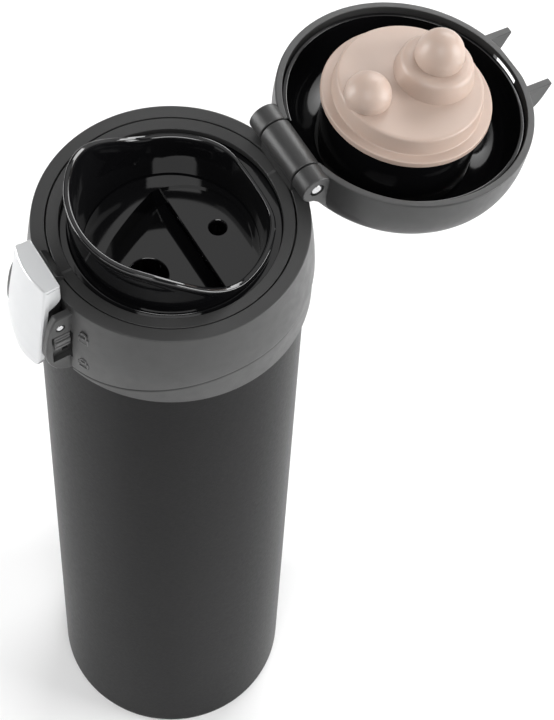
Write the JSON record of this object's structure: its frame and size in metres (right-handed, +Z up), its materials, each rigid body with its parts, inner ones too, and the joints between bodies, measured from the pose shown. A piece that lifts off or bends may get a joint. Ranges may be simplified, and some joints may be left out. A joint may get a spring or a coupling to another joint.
{
  "type": "vacuum flask",
  "caption": "Slim insulated drinking flask with a flip-open lid, a raised drinking spout, a push button and a sliding lock on a screw-on cap.",
  "frame": {"origin": "centre of the flask's flat base, on the surface it stands on", "axes": "+Z up along the flask, -Y towards the button, +Y towards the lid's hinge, +X to the lock's side"},
  "size_m": [0.074, 0.1529, 0.2756],
  "materials": {
    "outer_shell": "matte black powder coat over steel",
    "inner_vessel": "satin stainless steel",
    "base_plate": "brushed stainless steel",
    "vacuum_getter": "plain steel",
    "collar_shell": "fine matte black plastic",
    "collar_band": "fine matte black plastic",
    "collar_core": "black moulded plastic",
    "collar_gasket": "matte silicone",
    "top_ring": "fine matte black plastic",
    "mouthpiece": "polished black plastic",
    "mouthpiece_gasket": "matte silicone",
    "drinking_insert": "polished black plastic",
    "hinge_pin": "bright steel",
    "hinge_spring": "spring steel",
    "button_pin": "bright steel",
    "button_spring": "spring steel",
    "lock_detent": "spring steel",
    "lid_shell": "fine matte black plastic",
    "lid_liner": "polished black plastic",
    "plug_holder": "polished black plastic",
    "lid_packing": "satin beige silicone",
    "push_button": "silver metallised plastic",
    "latch_hook": "black plastic",
    "button_latch": "black plastic",
    "lock_slider": "dark grey plastic"
  },
  "bodies": {
    "flask": {"outer_shell": "outer_shell", "inner_vessel": "inner_vessel", "base_plate": "base_plate", "vacuum_getter": "vacuum_getter"},
    "cap": {"collar_shell": "collar_shell", "collar_band": "collar_band", "collar_core": "collar_core", "collar_gasket": "collar_gasket", "top_ring": "top_ring", "mouthpiece": "mouthpiece", "mouthpiece_gasket": "mouthpiece_gasket", "drinking_insert": "drinking_insert", "hinge_pin": "hinge_pin", "hinge_spring": "hinge_spring", "button_pin": "button_pin", "button_spring": "button_spring", "lock_detent": "lock_detent"},
    "lid": {"lid_shell": "lid_shell", "lid_liner": "lid_liner", "plug_holder": "plug_holder", "lid_packing": "lid_packing"},
    "button": {"push_button": "push_button", "latch_hook": "latch_hook", "button_latch": "button_latch"},
    "lock": {"lock_slider": "lock_slider"}
  },
  "joints": [
    {"name": "cap_lift", "type": "slide", "parent": "flask", "child": "cap", "axis": [0, 0, 1], "range_m": [0, 0.03]},
    {"name": "lid_hinge", "type": "hinge", "parent": "cap", "child": "lid", "pos_m": [0, 0.0346, 0.2558], "axis": [1, 0, 0], "range_deg": [0, 188]},
    {"name": "button_pivot", "type": "hinge", "parent": "cap", "child": "button", "pos_m": [0, -0.0374, 0.244], "axis": [1, 0, 0], "range_deg": [0, 9], "stiffness_Nm_per_rad": 0.05, "springref_deg": -5.73},
    {"name": "lock_slide", "type": "slide", "parent": "cap", "child": "lock", "axis": [0, 0, 1], "range_m": [-0.0045, 0]}
  ]
}
